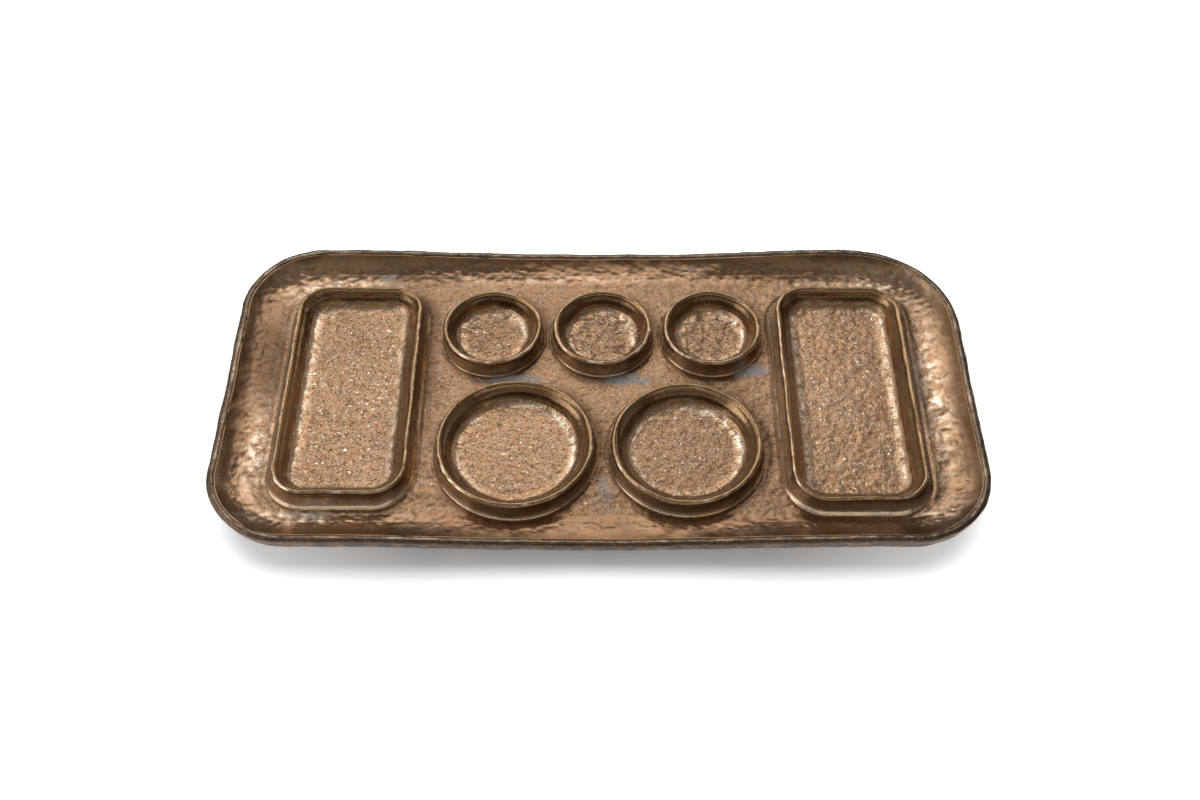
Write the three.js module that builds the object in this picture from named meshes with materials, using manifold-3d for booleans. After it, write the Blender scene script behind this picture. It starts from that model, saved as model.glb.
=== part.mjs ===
// Slab-built rectangular serving tray. Seven wells stand on its floor: a long plate at each end, a row of
// three dips at the back and two bowls at the front. Every well is a ring wall luted into a shallow seat,
// with a coil of clay pressed into its inside corner. A turned-up edge with a bead runs round the floor.
// Millimetres, +Z up. The origin is on the table under the middle of the tray. +X is along the tray and
// the bowls are on the -Y side.

import * as THREE from 'three';
import { mergeVertices } from 'three/addons/utils/BufferGeometryUtils.js';
import Module from 'manifold-3d';

// Wells, measured over their rims
const dipDiameter = 61.5;
const leftBowlDiameter = 92;
const rightBowlDiameter = 87.5;
const plateWidth = 78.5;
const plateCornerRadius = 20;

// Walls of the wells: height above the floor, rim, and how far each foot stands out past the rim
const wallHeight = 10.8;
const rimThickness = 4;
const rimCrown = 1.8;
const dipOuterFlare = 1.8;
const dipInnerFlare = 4.6;
const bowlOuterFlare = 3.2;
const bowlInnerFlare = 5.4;
const plateOuterFlare = 4.6;
const plateInnerFlare = 5.4;

// Coil in the inside corner of each well
const filletWidth = 3.5;
const filletHeight = 3.5;

// Layout of the floor, measured between the feet of the walls
const dipGap = 4;
const dipRowShift = 2;
const bowlGap = 5.7;
const rowGap = 8.6;
const backGap = 20.2;
const frontGap = 2.2;
const plateGap = 4.75;
const plateEdgeGap = 15.2;
const plateBackGap = 14.5;
const leftPlateFrontGap = 9.6;
const rightPlateFrontGap = 5.4;

// Floor slab and the turned-up edge, whose bead is highest at the corners and sags along the sides
const slabThickness = 8;
const trayCornerRadius = 50;
const backRightRadius = 66;
const edgeRun = 17.5;
const edgeDepth = 11;
const cornerRise = 9;
const longSideSag = 5;
const shortSideSag = 1.5;
const edgeHollow = 1.8;
const edgeTuck = 4;
const edgeHeel = 2;
const lapWidth = 8;
const lapThickness = 4;

// Bead along the edge
const beadWidth = 6;
const beadHeight = 3.2;
const beadSkirt = 1;
const beadTuck = 0.6;
const beadOverhang = 0.8;

// Foot ring below the slab
const footHeight = 4;
const footWidth = 9;
const footInset = 12;
const footCornerRadius = 22;
const footBevel = 1;

// Luted joints
const slipGap = 0.3;
const seatDepth = 1;
const seatMargin = 0.4;

// Fineness of the round shapes
const roundSteps = 36;
const cornerSteps = 7;
const traySideSteps = 10;
const trayEndSteps = 4;
const crownSteps = 4;
const filletSteps = 3;
const slopeSteps = 4;
const beadSteps = 5;
const sharpestCorner = 2;

const wasm = await Module();
wasm.setup();

// Levels
const slabBottom = footHeight;
const floorLevel = slabBottom + slabThickness;
const shoulderLevel = floorLevel + wallHeight - rimCrown;
const seatLevel = floorLevel - seatDepth;
const lapLevel = slabBottom + lapThickness;

// Footprints of the wells
const dipFootprint = dipDiameter + 2 * dipOuterFlare;
const leftBowlFootprint = leftBowlDiameter + 2 * bowlOuterFlare;
const rightBowlFootprint = rightBowlDiameter + 2 * bowlOuterFlare;
const bowlDepth = Math.max(leftBowlFootprint, rightBowlFootprint);
const plateFootprint = plateWidth + 2 * plateOuterFlare;
const dipRow = 3 * dipFootprint + 2 * dipGap;
const bowlRow = leftBowlFootprint + bowlGap + rightBowlFootprint;

// The wells set the size of the floor, and the floor sets the size of the tray
const middleLength = Math.max(dipRow + 2 * Math.abs(dipRowShift), bowlRow) + 2 * plateGap;
const floorHalfX = middleLength / 2 + plateFootprint + plateEdgeGap;
const floorHalfY = (backGap + dipFootprint + rowGap + bowlDepth + frontGap) / 2;
const trayHalfX = floorHalfX + edgeRun;
const trayHalfY = floorHalfY + edgeRun;

const dipPitch = dipFootprint + dipGap;
const dipY = floorHalfY - backGap - dipFootprint / 2;
const bowlY = -floorHalfY + frontGap + bowlDepth / 2;
const plateX = (middleLength + plateFootprint) / 2;
const plateBack = floorHalfY - plateBackGap;

// Bronze glaze as it breaks over each piece, and the bare clay of the foot
const floorGlaze = { color: 0xa8875f, roughness: 0.45, metalness: 0.8 };
const wallGlaze = { color: 0x6b4a2b, roughness: 0.36, metalness: 0.8 };
const edgeGlaze = { color: 0x7d5c3c, roughness: 0.4, metalness: 0.8 };
const beadGlaze = { color: 0x5a4431, roughness: 0.4, metalness: 0.7 };
const bareClay = { color: 0xb9a48a, roughness: 0.9, metalness: 0 };

function steps(count) {
  return Array.from({ length: count }, (_, index) => index);
}

// A plan is an anticlockwise outline that can be drawn at any offset with the same number of points.
function roundPlan(diameter) {
  return (offset) => steps(roundSteps).map((index) => {
    const angle = (2 * Math.PI * index) / roundSteps;
    const radius = diameter / 2 + offset;
    return new THREE.Vector2(radius * Math.cos(angle), radius * Math.sin(angle));
  });
}

// Its corners are given as back right, back left, front left and front right.
function cornerPlan(halfX, halfY, cornerRadii, sideSteps = 1, endSteps = 1) {
  const signs = [[1, 1], [-1, 1], [-1, -1], [1, -1]];
  return (offset) => {
    const corners = signs.map(([signX, signY], quarter) => {
      const radius = Math.max(cornerRadii[quarter] + offset, sharpestCorner);
      const centreX = signX * (halfX + offset - radius);
      const centreY = signY * (halfY + offset - radius);
      return steps(cornerSteps + 1).map((index) => {
        const angle = (Math.PI / 2) * (quarter + index / cornerSteps);
        return new THREE.Vector2(centreX + radius * Math.cos(angle), centreY + radius * Math.sin(angle));
      });
    });
    return corners.flatMap((arc, quarter) => {
      const arcEnd = arc[cornerSteps];
      const nextStart = corners[(quarter + 1) % corners.length][0];
      const count = quarter % 2 === 0 ? sideSteps : endSteps;
      const side = steps(count).slice(1).map((index) => arcEnd.clone().lerp(nextStart, index / count));
      return [...arc, ...side];
    });
  };
}

function evenCorners(radius) {
  return [radius, radius, radius, radius];
}

function geometryFrom(points, triangles) {
  const geometry = new THREE.BufferGeometry();
  geometry.setAttribute('position', new THREE.Float32BufferAttribute(points, 3));
  geometry.setIndex(triangles);
  return geometry;
}

// Triangles of the strip between one ring of points and the next, which lies above it or inside it
function ringStrip(lower, upper, count) {
  return steps(count).flatMap((index) => {
    const next = (index + 1) % count;
    return [lower + index, lower + next, upper + next, lower + index, upper + next, upper + index];
  });
}

// A closed ring: sectionAt gives the section at each point of the plan as [offset, height] corners,
// from the outer foot up and over to the inner foot.
function sweptRing(plan, sectionAt) {
  const count = plan(0).length;
  const sections = steps(count).map(sectionAt);
  const sides = sections[0].length;
  const points = steps(sides).flatMap((side) => sections.flatMap((section, index) => {
    const [offset, height] = section[side];
    const { x, y } = plan(offset)[index];
    return [x, y, height];
  }));
  const triangles = steps(sides).flatMap((side) => {
    const nextSide = (side + 1) % sides;
    return ringStrip(side * count, nextSide * count, count);
  });
  return geometryFrom(points, triangles);
}

// A solid plate whose outline steps through [offset, height] levels from the bottom up
function steppedPlate(plan, levels) {
  const count = plan(0).length;
  const topLevel = levels.length - 1;
  const topRing = topLevel * count;
  const bottomCentre = topRing + count;
  const topCentre = bottomCentre + 1;
  const rings = levels.flatMap(([offset, height]) => plan(offset).flatMap(({ x, y }) => [x, y, height]));
  const walls = steps(topLevel).flatMap((level) => ringStrip(level * count, (level + 1) * count, count));
  const caps = steps(count).flatMap((index) => {
    const next = (index + 1) % count;
    return [bottomCentre, next, index, topCentre, topRing + index, topRing + next];
  });
  const centres = [0, 0, levels[0][1], 0, 0, levels[topLevel][1]];
  return geometryFrom([...rings, ...centres], [...walls, ...caps]);
}

function solidFrom(geometry) {
  const merged = mergeVertices(geometry);
  const vertProperties = new Float32Array(merged.attributes.position.array);
  const triVerts = new Uint32Array(merged.index.array);
  return new wasm.Manifold(new wasm.Mesh({ numProp: 3, vertProperties, triVerts }));
}

function geometryOf(solid) {
  const mesh = solid.getMesh();
  return geometryFrom(mesh.vertProperties, Array.from(mesh.triVerts));
}

function piece(name, geometry, finish) {
  const mesh = new THREE.Mesh(geometry, new THREE.MeshStandardMaterial(finish));
  mesh.name = name;
  return mesh;
}

// The seven wells, each with the plan of its rim's outer edge about its own middle
function plateWell(name, side, frontGapHere) {
  const front = -floorHalfY + frontGapHere;
  const halfY = (plateBack - front) / 2 - plateOuterFlare;
  return {
    name,
    x: side * plateX,
    y: (plateBack + front) / 2,
    plan: cornerPlan(plateWidth / 2, halfY, evenCorners(plateCornerRadius)),
    outerFlare: plateOuterFlare,
    innerFlare: plateInnerFlare,
  };
}

function roundWell(name, x, y, diameter, outerFlare, innerFlare) {
  return { name, x, y, plan: roundPlan(diameter), outerFlare, innerFlare };
}

function dipWell(name, place) {
  return roundWell(name, dipRowShift + place * dipPitch, dipY, dipDiameter, dipOuterFlare, dipInnerFlare);
}

const leftBowlX = (leftBowlFootprint - bowlRow) / 2;
const rightBowlX = (bowlRow - rightBowlFootprint) / 2;
const wells = [
  plateWell('left_plate', -1, leftPlateFrontGap),
  plateWell('right_plate', 1, rightPlateFrontGap),
  dipWell('left_dip', -1),
  dipWell('middle_dip', 0),
  dipWell('right_dip', 1),
  roundWell('left_bowl', leftBowlX, bowlY, leftBowlDiameter, bowlOuterFlare, bowlInnerFlare),
  roundWell('right_bowl', rightBowlX, bowlY, rightBowlDiameter, bowlOuterFlare, bowlInnerFlare),
];

function innerFoot(well) {
  return -rimThickness - well.innerFlare;
}

function filletToe(well) {
  return innerFoot(well) - slipGap - filletWidth;
}

// Chunky wall: both feet flared, crowned rim, foot standing in its seat
function wallSection(well) {
  const footLevel = seatLevel + slipGap;
  const crown = steps(crownSteps + 1).map((index) => {
    const angle = (Math.PI * index) / crownSteps;
    return [(rimThickness / 2) * (Math.cos(angle) - 1), shoulderLevel + rimCrown * Math.sin(angle)];
  });
  return [
    [well.outerFlare, footLevel],
    [well.outerFlare, floorLevel],
    ...crown,
    [innerFoot(well), floorLevel],
    [innerFoot(well), footLevel],
  ];
}

// Hollow-faced coil between the floor and the inner face of the wall
function filletSection(well) {
  const back = innerFoot(well) - slipGap;
  const sole = seatLevel + slipGap;
  const inward = well.innerFlare / (shoulderLevel - floorLevel);
  const heel = new THREE.Vector2(back, floorLevel);
  const tip = new THREE.Vector2(back + inward * filletHeight, floorLevel + filletHeight);
  const toe = new THREE.Vector2(filletToe(well), floorLevel);
  const face = new THREE.QuadraticBezierCurve(tip, heel, toe).getPoints(filletSteps);
  return [[toe.x, sole], [heel.x, sole], [heel.x, heel.y], ...face.map(({ x, y }) => [x, y])];
}

// Shallow seat in the floor that takes a wall and its coil
function seatSolid(well) {
  const outer = well.outerFlare + seatMargin;
  const inner = filletToe(well) - seatMargin;
  const clear = floorLevel + seatDepth;
  const section = [[outer, seatLevel], [outer, clear], [inner, clear], [inner, seatLevel]];
  return solidFrom(sweptRing(well.plan, () => section)).translate(well.x, well.y, 0);
}

// Height of the bead above the floor at a point of the tray's outline
function beadRise(x, y) {
  const sag = (place, reach) => Math.cos((Math.PI / 2) * Math.min(1, Math.abs(place) / reach)) ** 2;
  const alongSide = sag(x, trayHalfX - trayCornerRadius);
  const alongEnd = sag(y, trayHalfY - trayCornerRadius);
  return cornerRise - longSideSag * alongSide - shortSideSag * alongEnd;
}

const trayCorners = [backRightRadius, trayCornerRadius, trayCornerRadius, trayCornerRadius];
const trayPlan = cornerPlan(trayHalfX, trayHalfY, trayCorners, traySideSteps, trayEndSteps);
const beadSeats = trayPlan(0).map(({ x, y }) => floorLevel + beadRise(x, y) - beadHeight);
const footPlan = cornerPlan(
  floorHalfX - lapWidth - footInset,
  floorHalfY - lapWidth - footInset,
  evenCorners(footCornerRadius),
);

// Turned-up edge: a hollow slope from the floor to the bead, a steep outer face that tucks in below, and
// a ledge that laps under the slab
function edgeSection(index) {
  const top = beadSeats[index];
  const bottom = top + beadHeight - edgeDepth;
  const slope = steps(slopeSteps + 1).map((step) => {
    const along = step / slopeSteps;
    const offset = -beadWidth - (edgeRun - beadWidth) * along;
    return [offset, floorLevel + (top - floorLevel) * (1 - along) ** edgeHollow];
  });
  return [
    [-edgeRun, slabBottom],
    [-beadOverhang - edgeTuck, bottom],
    [-beadOverhang - edgeHeel, bottom + edgeHeel],
    [-beadOverhang, top],
    ...slope,
    [-edgeRun, lapLevel],
    [-edgeRun - lapWidth, lapLevel],
    [-edgeRun - lapWidth, slabBottom],
  ];
}

// Round bead, flat below where it sits on the edge
function beadSection(index) {
  const base = beadSeats[index] + slipGap;
  const middle = base + beadSkirt;
  const crown = beadHeight - slipGap - beadSkirt;
  const round = steps(beadSteps + 1).map((step) => {
    const angle = (Math.PI * step) / beadSteps;
    return [(beadWidth / 2) * (Math.cos(angle) - 1), middle + crown * Math.sin(angle)];
  });
  return [[-beadTuck, base], ...round, [beadTuck - beadWidth, base]];
}

function footSection() {
  const top = slabBottom + seatDepth - slipGap;
  return [
    [-footBevel, 0],
    [0, footBevel],
    [0, top],
    [-footWidth, top],
    [-footWidth, footBevel],
    [-footWidth + footBevel, 0],
  ];
}

// Flat slab: its rim laps over the ledge of the edge, and seats for the walls and the foot are cut in it
function floorSlab() {
  const under = -edgeRun - lapWidth - slipGap;
  const over = -edgeRun - slipGap;
  const levels = [
    [under, slabBottom],
    [under, lapLevel + slipGap],
    [over, lapLevel + slipGap],
    [over, floorLevel],
  ];
  const footSeat = [
    [seatMargin, slabBottom - seatDepth],
    [seatMargin, slabBottom + seatDepth],
    [-footWidth - seatMargin, slabBottom + seatDepth],
    [-footWidth - seatMargin, slabBottom - seatDepth],
  ];
  const seats = [solidFrom(sweptRing(footPlan, () => footSeat)), ...wells.map(seatSolid)];
  const slab = solidFrom(steppedPlate(trayPlan, levels));
  return geometryOf(seats.reduce((rest, seat) => rest.subtract(seat), slab));
}

// One well: the ring wall and the coil inside it
function wellGroup(well) {
  const group = new THREE.Group();
  const wall = sweptRing(well.plan, () => wallSection(well));
  const fillet = sweptRing(well.plan, () => filletSection(well));
  group.add(piece(`${well.name}_wall`, wall, wallGlaze));
  group.add(piece(`${well.name}_fillet`, fillet, floorGlaze));
  group.position.set(well.x, well.y, 0);
  return group;
}

const tray = new THREE.Group();
tray.add(piece('floor_slab', floorSlab(), floorGlaze));
tray.add(piece('edge_strip', sweptRing(trayPlan, edgeSection), edgeGlaze));
tray.add(piece('rim_bead', sweptRing(trayPlan, beadSection), beadGlaze));
tray.add(piece('foot_ring', sweptRing(footPlan, footSection), bareClay));
wells.forEach((well) => tray.add(wellGroup(well)));

export default tray;
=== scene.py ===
import math

import bpy
import numpy as np
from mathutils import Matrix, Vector


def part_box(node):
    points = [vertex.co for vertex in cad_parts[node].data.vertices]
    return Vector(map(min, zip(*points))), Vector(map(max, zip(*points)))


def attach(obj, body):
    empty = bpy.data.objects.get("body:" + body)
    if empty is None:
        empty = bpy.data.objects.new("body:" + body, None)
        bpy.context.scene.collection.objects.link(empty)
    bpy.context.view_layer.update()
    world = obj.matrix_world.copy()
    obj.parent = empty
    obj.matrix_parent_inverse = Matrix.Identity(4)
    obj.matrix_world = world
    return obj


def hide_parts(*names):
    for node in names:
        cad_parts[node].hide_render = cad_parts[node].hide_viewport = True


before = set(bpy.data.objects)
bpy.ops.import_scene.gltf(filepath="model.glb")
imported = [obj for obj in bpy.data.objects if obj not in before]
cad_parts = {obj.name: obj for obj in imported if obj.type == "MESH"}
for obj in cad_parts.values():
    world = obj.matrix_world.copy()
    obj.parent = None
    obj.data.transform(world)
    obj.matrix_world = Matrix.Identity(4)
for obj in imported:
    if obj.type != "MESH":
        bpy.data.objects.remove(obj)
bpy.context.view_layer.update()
mm = 0.001   # shapes below are worked out in millimetres and become metres in addPiece
print("frame loaded:", len(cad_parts), "pieces")


def boxOf(node):   # lowest and highest corner of a piece, in millimetres
    low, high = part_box(node)
    return np.array(low) / mm, np.array(high) / mm


# repeatable noise

def shuffle(cells, seed):   # three numbers in 0..1 for each whole-number cell
    x, y, z = (cells[..., axis] for axis in range(3))
    mixed = x * 374761393 + y * 668265263 + z * 982451653 + seed * 144665
    mixed = (mixed ^ (mixed >> 13)) * 1274126177
    mixed = mixed ^ (mixed >> 16)
    return np.stack([(mixed >> shift & 1023) / 1023 for shift in (0, 10, 20)], -1)


def lumps(points, size, seed):   # smooth noise, about -1 to 1, with lumps of this size in mm
    scaled = points / size
    cells = np.floor(scaled).astype(np.int64)
    inside = scaled - cells
    fade = inside ** 3 * (inside * (inside * 6 - 15) + 10)
    total = np.zeros(points.shape[:-1])
    for corner in np.ndindex(2, 2, 2):
        slope = shuffle(cells + corner, seed) * 2 - 1
        weight = np.where(corner, fade, 1 - fade).prod(-1)
        total += weight * (slope * (inside - corner)).sum(-1)
    return np.clip(total * 1.9, -1, 1)


def pocks(flat, cell, radius, seed):   # 0..1, one round pock in most cells of this size in mm
    cells = np.floor(flat / cell).astype(np.int64)
    deepest = np.zeros(flat.shape[:-1])
    for shiftX, shiftY in np.ndindex(3, 3):
        near = cells + np.array([shiftX - 1, shiftY - 1, 0])
        place = shuffle(near, seed)
        centre = (near + place) * cell
        reach = radius * (0.35 + 0.65 * place[..., 2])
        away = np.hypot(flat[..., 0] - centre[..., 0], flat[..., 1] - centre[..., 1])
        dent = np.clip(1 - (away / reach) ** 2, 0, 1) ** 1.5
        deepest = np.maximum(deepest, dent * (place[..., 2] > 0.3))
    return deepest


def bell(distance, width):
    return np.exp(-(distance / width) ** 2)


def ease(value, start, end):   # 0 before start, 1 after end
    share = np.clip((value - start) / (end - start), 0, 1)
    return share * share * (3 - 2 * share)


# plans and sections

cornerSigns = [(1, 1), (-1, 1), (-1, -1), (1, -1)]   # back right, back left, front left, front right


def flattened(points):   # points, or a path in plan, at height 0
    return np.concatenate([points[..., :2], np.zeros(points.shape[:-1] + (1,))], -1)


# even points round a rounded rectangle, their outward directions and how far along they are
def outline(centre, half, radii, spacing):
    points, outward = [], []
    for quarter, signs in enumerate(cornerSigns):
        angles = (quarter + np.linspace(0, 1, 91)) * np.pi / 2
        direction = np.stack([np.cos(angles), np.sin(angles)], 1)
        radius = radii[quarter]
        points.append(centre + np.array(signs) * (half - radius) + radius * direction)
        outward.append(direction)
    points = np.concatenate(points + [points[0][:1]])
    outward = np.concatenate(outward + [outward[0][:1]])
    walked = np.concatenate([[0], np.cumsum(np.linalg.norm(np.diff(points, axis=0), axis=1))])
    count = int(round(walked[-1] / spacing))
    places = np.arange(count) * walked[-1] / count
    even = [np.stack([np.interp(places, walked, rows[:, axis]) for axis in (0, 1)], 1)
            for rows in (points, outward)]
    return even[0], even[1] / np.linalg.norm(even[1], axis=1, keepdims=True), places


def outside(points, centre, half, radii):   # mm outside a rounded rectangle, negative inside
    local = points[..., :2] - centre
    radius = np.zeros(local.shape[:-1])
    for corner, (signX, signY) in zip(radii, cornerSigns):
        here = (local[..., 0] * signX >= 0) & (local[..., 1] * signY >= 0)
        radius = np.where(here, corner, radius)
    gap = np.abs(local) - half + radius[..., None]
    return np.minimum(gap.max(-1), 0) + np.linalg.norm(np.maximum(gap, 0), axis=-1) - radius


def smoothRun(corners, count):   # evenly spaced points on a smooth curve through the corners
    corners = np.array(corners, float)
    before, after = 2 * corners[:1] - corners[1:2], 2 * corners[-1:] - corners[-2:-1]
    padded = np.concatenate([before, corners, after])
    fine = []
    for a, b, c, d in zip(padded, padded[1:], padded[2:], padded[3:]):
        for t in np.linspace(0, 1, 24, endpoint=False):
            fine.append(0.5 * (2 * b + (c - a) * t + (2 * a - 5 * b + 4 * c - d) * t * t
                               + (3 * b - a - 3 * c + d) * t ** 3))
    fine = np.array(fine + [corners[-1]])
    walked = np.concatenate([[0], np.cumsum(np.linalg.norm(np.diff(fine, axis=0), axis=1))])
    places = np.linspace(0, walked[-1], count)
    return np.stack([np.interp(places, walked, fine[:, axis]) for axis in (0, 1)], 1)


def straightRun(start, end, count):   # even steps from start up to, but not on, the end
    start, end = np.array(start), np.array(end)
    return start + np.linspace(0, 1, count, endpoint=False)[:, None] * (end - start)


def swept(path, outward, offsets, heights):   # rows go along the path, columns round the section
    flat = path[:, None, :] + outward[:, None, :] * offsets[..., None]
    return np.concatenate([flat, np.broadcast_to(heights, offsets.shape)[..., None]], -1)


def turned(outward, direction, start, end):   # 0 to 1 as a wall comes to face this way in plan
    return ease(outward @ np.array(direction), start, end)[:, None]


def facing(grid):   # outward direction at every point of a closed ring
    along = np.roll(grid, -1, 0) - np.roll(grid, 1, 0)
    across = np.roll(grid, -1, 1) - np.roll(grid, 1, 1)
    out = np.cross(along, across)
    return out / np.maximum(np.linalg.norm(out, axis=-1, keepdims=True), 1e-9)


def addPiece(node, points, faces, finish, marks):
    mesh = bpy.data.meshes.new(node + "_fired")
    mesh.from_pydata((points.reshape(-1, 3) * mm).tolist(), [], faces)
    mesh.shade_smooth()
    for mark, values in marks.items():
        layer = mesh.attributes.new(mark, "FLOAT", "POINT")
        layer.data.foreach_set("value", np.clip(values, 0, 1).astype(np.float32).reshape(-1))
    mesh.materials.append(finish)
    piece = bpy.data.objects.new(node + "_fired", mesh)
    bpy.context.scene.collection.objects.link(piece)
    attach(piece, "root")
    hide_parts(node)


def addRing(node, grid, finish, marks):   # a closed ring with a closed section
    count, sides = grid.shape[:2]
    along = np.arange(count)[:, None]
    side = np.arange(sides)[None, :]
    ahead, beyond = (along + 1) % count, (side + 1) % sides
    corners = [along * sides + side, ahead * sides + side, ahead * sides + beyond, along * sides + beyond]
    faces = np.stack(corners, -1).reshape(-1, 4).tolist()
    addPiece(node, grid, faces, finish, marks)


# shader maths

class Wire:   # a socket that takes part in plain maths
    def __init__(self, tree, socket=None):
        self.tree = tree
        self.socket = socket

    def node(self, kind, settings=None, links=None, out=0):
        made = self.tree.nodes.new("ShaderNode" + kind)
        for name, value in (settings or {}).items():
            setattr(made, name, value)
        for name, value in (links or {}).items():
            if isinstance(value, Wire):
                self.tree.links.new(value.socket, made.inputs[name])
            else:
                made.inputs[name].default_value = value
        return Wire(self.tree, made.outputs[out])

    def maths(self, operation, first, second):
        return self.node("Math", {"operation": operation}, {0: first, 1: second})

    def __add__(self, other):
        return self.maths("ADD", self, other)

    def __sub__(self, other):
        return self.maths("SUBTRACT", self, other)

    def __rsub__(self, other):
        return self.maths("SUBTRACT", other, self)

    def __mul__(self, other):
        return self.maths("MULTIPLY", self, other)

    def __abs__(self):
        return self.maths("ABSOLUTE", self, 0.0)

    __radd__ = __add__
    __rmul__ = __mul__

    def into(self, shader, name):
        self.tree.links.new(self.socket, shader.inputs[name])

    def between(self, start, end):   # 0 below start, 1 above end, eased
        return self.node("MapRange", {"interpolation_type": "SMOOTHSTEP"},
                         {"Value": self, "From Min": start, "From Max": end})

    def blend(self, under, over):   # colour under, turning to colour over as this goes from 0 to 1
        return self.node("Mix", {"data_type": "RGBA"}, {0: self, 6: under, 7: over}, 2)

    def bump(self):   # this height in mm, as a direction of the surface
        return self.node("Bump", {}, {"Strength": 1.0, "Distance": mm, "Height": self})


def shade(red, green, blue):
    return (red, green, blue, 1)


def grey(value):
    return shade(value, value, value)


def newFinish(name):   # an empty finish, its shader, and the place on the object in mm
    finish = bpy.data.materials.new(name)
    finish.use_nodes = True
    place = Wire(finish.node_tree).node("TexCoord", out=3)
    inMm = place.node("VectorMath", {"operation": "SCALE"}, {0: place, "Scale": 1 / mm})
    return finish, finish.node_tree.nodes["Principled BSDF"], inMm


def grain(place, size, detail=2.0, rough=0.5, twist=0.0):   # cloudy noise, 0 to 1, size in mm
    sockets = {"Vector": place, "Scale": 1 / size, "Detail": detail, "Roughness": rough, "Distortion": twist}
    return place.node("TexNoise", {}, sockets)


def craters(place, size, share, reach):   # burst bubbles in this share of cells: the pit, its raised lip
    cells = {"Vector": place, "Scale": 1 / size}
    away = place.node("TexVoronoi", {}, cells) + (grain(place, size * 0.3, 1.0) - 0.5) * 0.34
    chosen = 1 - place.node("TexVoronoi", {}, cells, 1).between(share - 0.02, share + 0.02)
    brink = away.between(reach - 0.1, reach + 0.05)
    pit = (1 - brink) * chosen
    lip = brink * (1 - away.between(reach + 0.06, reach + 0.14)) * chosen
    return pit, lip


# pooled is dark glaze and also painted shade; worn and glint are thin glaze and also painted highlights and
# glints
glazeShades = {
    "pooledAndShade": shade(0.05, 0.026, 0.013),
    "bloom": shade(0.25, 0.265, 0.278),
    "wornAndHighlight": shade(0.68, 0.525, 0.375),
    "glint": shade(0.85, 0.74, 0.6),
    "amber": shade(0.26, 0.146, 0.062),
    "bare": shade(0.09, 0.077, 0.064),
}
glaze = {   # what all the bronze glazes share
    "pitShare": 0.5, "pitReach": 0.13,           # share of cells with a burst bubble, its reach in the cell
    "frostSize": 5.0, "livelySize": 12.0,        # mm, broken edge of the bloom, areas with more glints
    "amberBase": 0.35, "wornAndHighlightBase": 0.45, "bareBase": 0.35, "pooledAndShadeDepth": 0.85,
    "frostRough": 0.15, "bareRough": 0.25, "knobGlintGloss": 0.1, "frostDull": 0.5, "bareDull": 0.85,
}


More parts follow.
